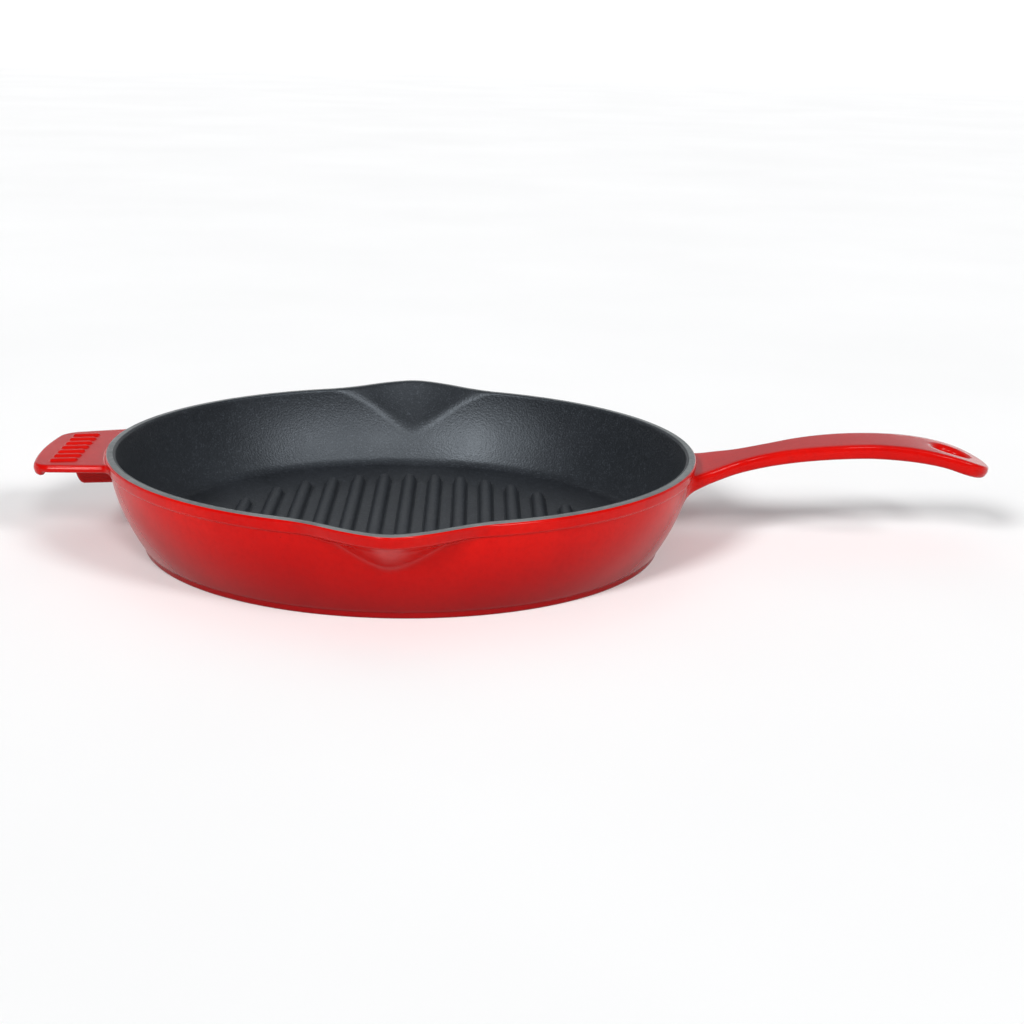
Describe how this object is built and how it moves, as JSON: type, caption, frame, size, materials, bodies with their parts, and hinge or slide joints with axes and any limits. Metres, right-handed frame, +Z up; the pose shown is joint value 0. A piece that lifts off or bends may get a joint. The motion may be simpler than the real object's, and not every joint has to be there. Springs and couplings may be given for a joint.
{
  "type": "cast iron grill skillet",
  "caption": "Round enamelled cast iron grill skillet with ribbed floor, two pour lips, a long handle with a hanging hole and a short helper handle.",
  "frame": {"origin": "centre of the bowl's underside, on the bowl's axis, in the plane it rests on", "axes": "+Z up along the bowl's axis, +X along the long handle, the pour lips at -Y and +Y, the helper handle at -X"},
  "size_m": [0.4552, 0.3144, 0.0533],
  "materials": {
    "cast_iron": "bare sand casting, under the enamel",
    "red_enamelled_iron": "cast iron under glossy red vitreous enamel",
    "red_enamel": "glossy red vitreous enamel",
    "black_enamelled_iron": "cast iron under satin black enamel",
    "black_enamel": "fine-pebbled satin black enamel",
    "grey_ground_coat": "satin grey enamel ground coat"
  },
  "bodies": {
    "root": {"base_plate": "cast_iron", "base_enamel": "red_enamel", "foot_ring": "red_enamelled_iron", "floor_enamel": "black_enamel", "grill_ribs": "black_enamelled_iron", "left_wall": "cast_iron", "right_wall": "cast_iron", "front_pour_lip": "cast_iron", "rear_pour_lip": "cast_iron", "inner_enamel": "black_enamel", "lip_linings": "black_enamel", "outer_enamel": "red_enamel", "lip_enamel": "red_enamel", "rim_collar": "red_enamelled_iron", "lip_collars": "red_enamelled_iron", "rim_coat": "grey_ground_coat", "long_handle": "red_enamelled_iron", "handle_root": "red_enamelled_iron", "helper_handle": "red_enamelled_iron", "helper_lip": "red_enamelled_iron", "helper_gusset": "red_enamelled_iron", "helper_grip_bars": "red_enamelled_iron"}
  },
  "joints": []
}
